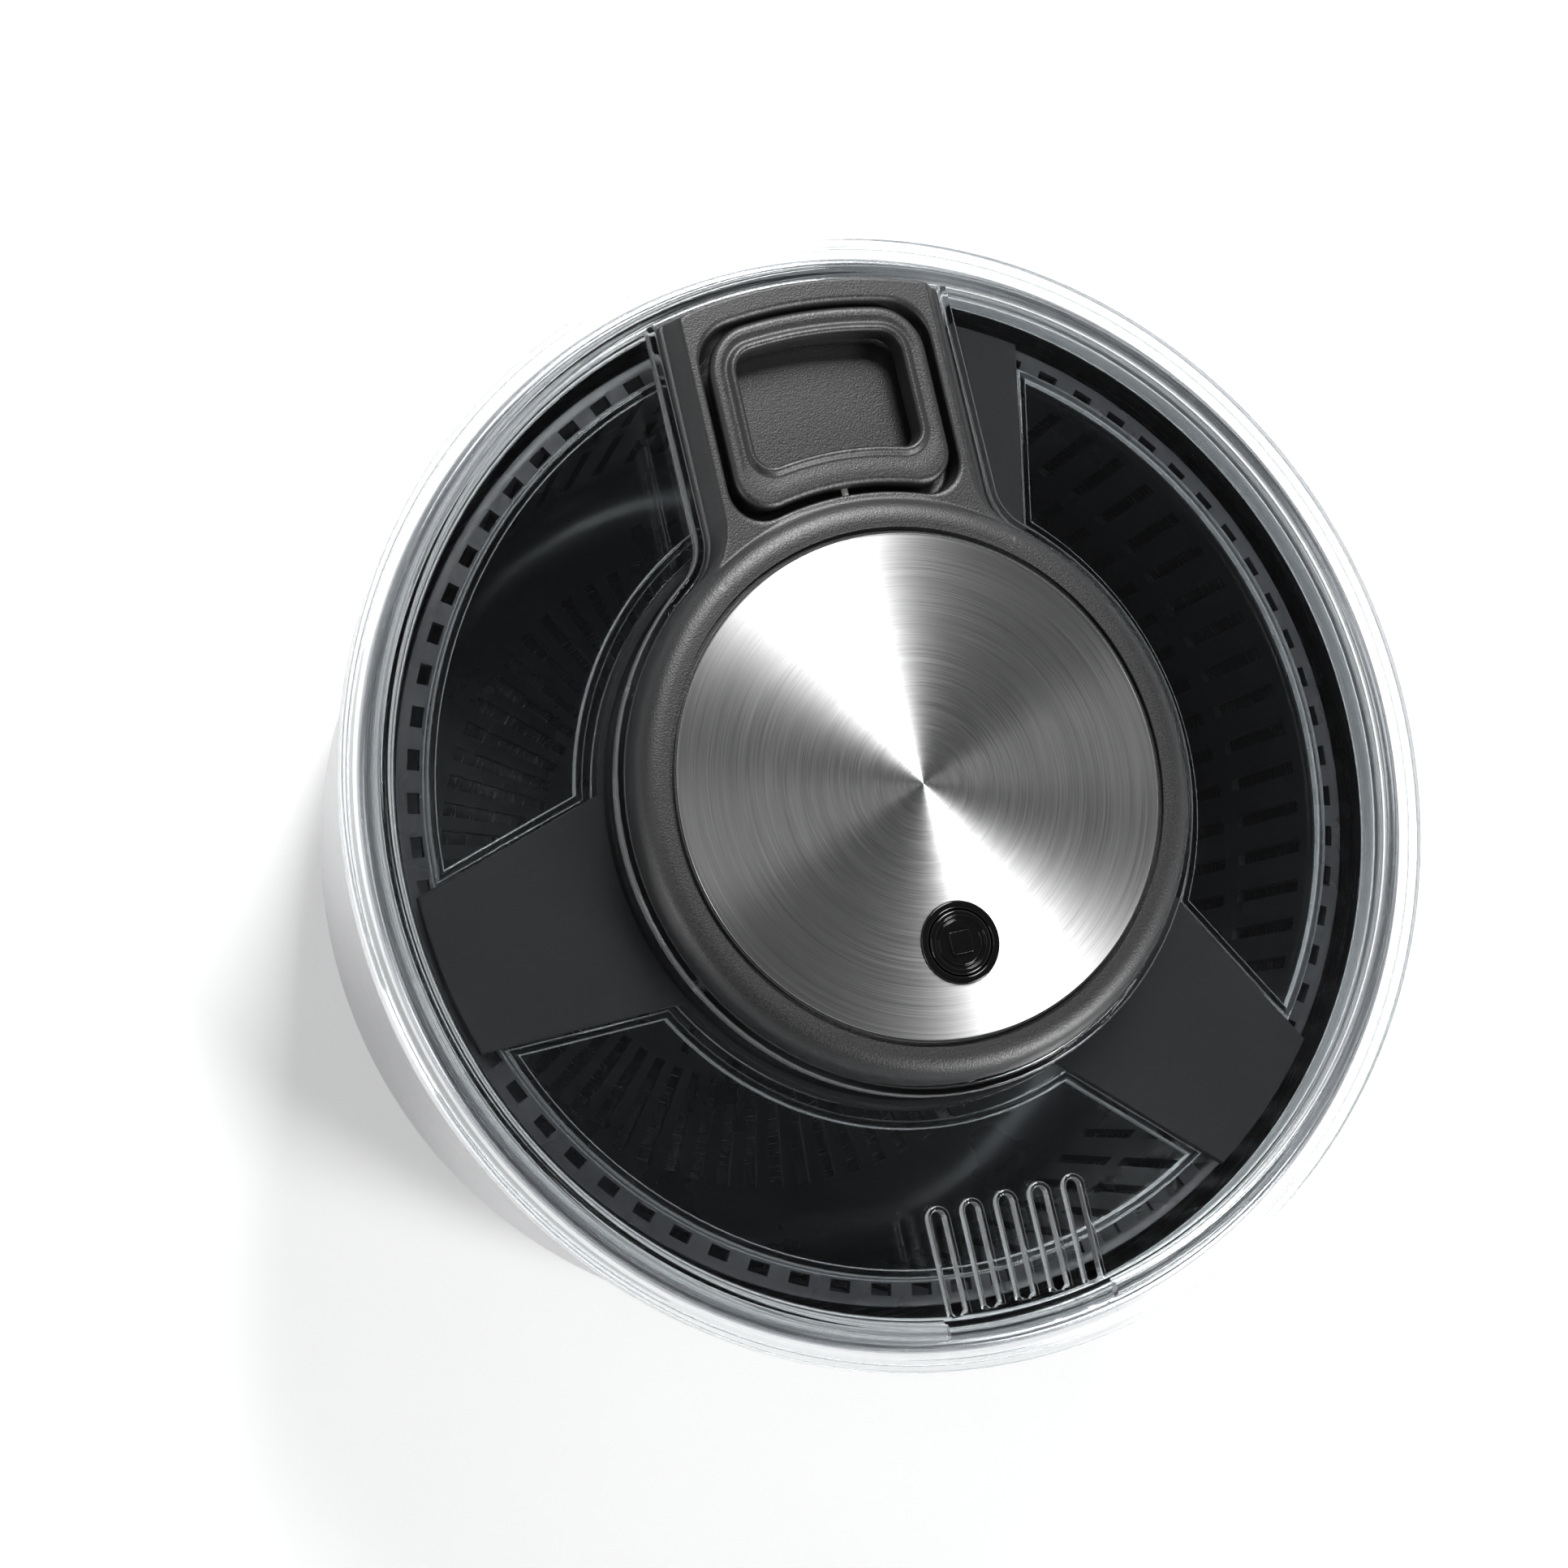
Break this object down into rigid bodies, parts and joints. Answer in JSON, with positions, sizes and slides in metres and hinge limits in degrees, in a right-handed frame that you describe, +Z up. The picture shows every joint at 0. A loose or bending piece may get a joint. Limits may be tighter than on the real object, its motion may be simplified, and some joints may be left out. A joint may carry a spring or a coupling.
{
  "type": "salad spinner",
  "caption": "Pull-cord salad spinner: steel bowl, slotted turning basket and clear lid with a ring-pull handle, recoil drive, stop button and drain slots.",
  "frame": {"origin": "centre of the foot ring's underside, on the table", "axes": "+Z up along the spin axis, +Y towards the pull handle's arm, -Y towards the drain slots"},
  "size_m": [0.264, 0.264, 0.1426],
  "materials": {
    "steel": "satin inside, polished outside",
    "silicone": "matt",
    "nylon": "natural",
    "basket_plastic": "satin black",
    "clear_plastic": "clear, polished",
    "grained_plastic": "fine grain, black",
    "smooth_plastic": "smooth satin black",
    "gloss_plastic": "gloss black",
    "brushed_disc": "turned brushing round the centre",
    "bronze": "sintered",
    "screw_steel": "zinc plated",
    "spring_steel": "oiled",
    "cord": "braided",
    "acetal": "satin",
    "brake_rubber": "matt"
  },
  "bodies": {
    "bowl": {"bowl": "steel", "foot_ring": "silicone", "pivot_pin": "steel"},
    "pivot": {"pivot_bush": "nylon"},
    "basket": {"basket": "basket_plastic"},
    "lid": {"lid": "clear_plastic", "housing_top": "grained_plastic", "housing_bottom": "smooth_plastic", "trim_disc": "brushed_disc", "button_bezel": "gloss_plastic", "cord_guide": "nylon", "bearing_bush": "bronze", "housing_screws": "screw_steel", "return_spring": "spring_steel", "button_spring": "spring_steel", "pull_cord": "cord"},
    "handle": {"pull_handle": "grained_plastic", "cord_ferrule": "bronze"},
    "drum": {"cord_drum": "nylon", "pawl_pins": "screw_steel"},
    "pawl_a": {"pawl_1": "acetal"},
    "pawl_b": {"pawl_2": "acetal"},
    "button": {"stop_button": "gloss_plastic", "brake_plunger": "smooth_plastic", "brake_pad": "brake_rubber"},
    "cover": {"drive_shaft": "screw_steel", "ratchet_ring": "acetal", "thrust_washer": "nylon", "retaining_ring": "screw_steel", "spoke_carrier": "smooth_plastic", "cover_plate": "clear_plastic", "cover_screws": "screw_steel", "hub_screw": "screw_steel"}
  },
  "joints": [
    {"name": "lid_lift", "type": "slide", "parent": "bowl", "child": "lid", "axis": [0, 0, 1], "range_m": [0, 0.26]},
    {"name": "basket_lift", "type": "slide", "parent": "bowl", "child": "pivot", "axis": [0, 0, 1], "range_m": [0, 0.13]},
    {"name": "cover_spin", "type": "hinge", "parent": "lid", "child": "cover", "pos_m": [0, 0, 0.12], "axis": [0, 0, 1], "continuous": true},
    {"name": "basket_spin", "type": "hinge", "parent": "pivot", "child": "basket", "pos_m": [0, 0, 0.02], "axis": [0, 0, 1], "continuous": true},
    {"name": "handle_pull", "type": "slide", "parent": "lid", "child": "handle", "axis": [0, 0.5, 0.866], "range_m": [0, 0.4398], "stiffness_N_per_m": 12, "springref_m": -0.25, "deforming": ["pull_cord"]},
    {"name": "drum_spin", "type": "hinge", "parent": "lid", "child": "drum", "pos_m": [0, 0, 0.13], "axis": [0, 0, 1], "range_deg": [0, 1260]},
    {"name": "pawl_a_swing", "type": "hinge", "parent": "drum", "child": "pawl_a", "pos_m": [0.0125, 0, 0.125], "axis": [0, 0, -1], "range_deg": [0, 28]},
    {"name": "pawl_b_swing", "type": "hinge", "parent": "drum", "child": "pawl_b", "pos_m": [-0.0125, 0, 0.125], "axis": [0, 0, -1], "range_deg": [0, 28]},
    {"name": "button_press", "type": "slide", "parent": "lid", "child": "button", "axis": [0, 0, -1], "range_m": [0, 0.0035], "stiffness_N_per_m": 700, "springref_m": -0.004, "deforming": ["button_spring"]}
  ],
  "couplings": [
    {"joint": "basket_lift", "follows": "lid_lift", "ratio": 0.5},
    {"joint": "basket_spin", "follows": "cover_spin", "ratio": 1},
    {"joint": "drum_spin", "follows": "handle_pull", "rad_per_m": 50},
    {"joint": "pawl_b_swing", "follows": "pawl_a_swing", "ratio": 1}
  ]
}
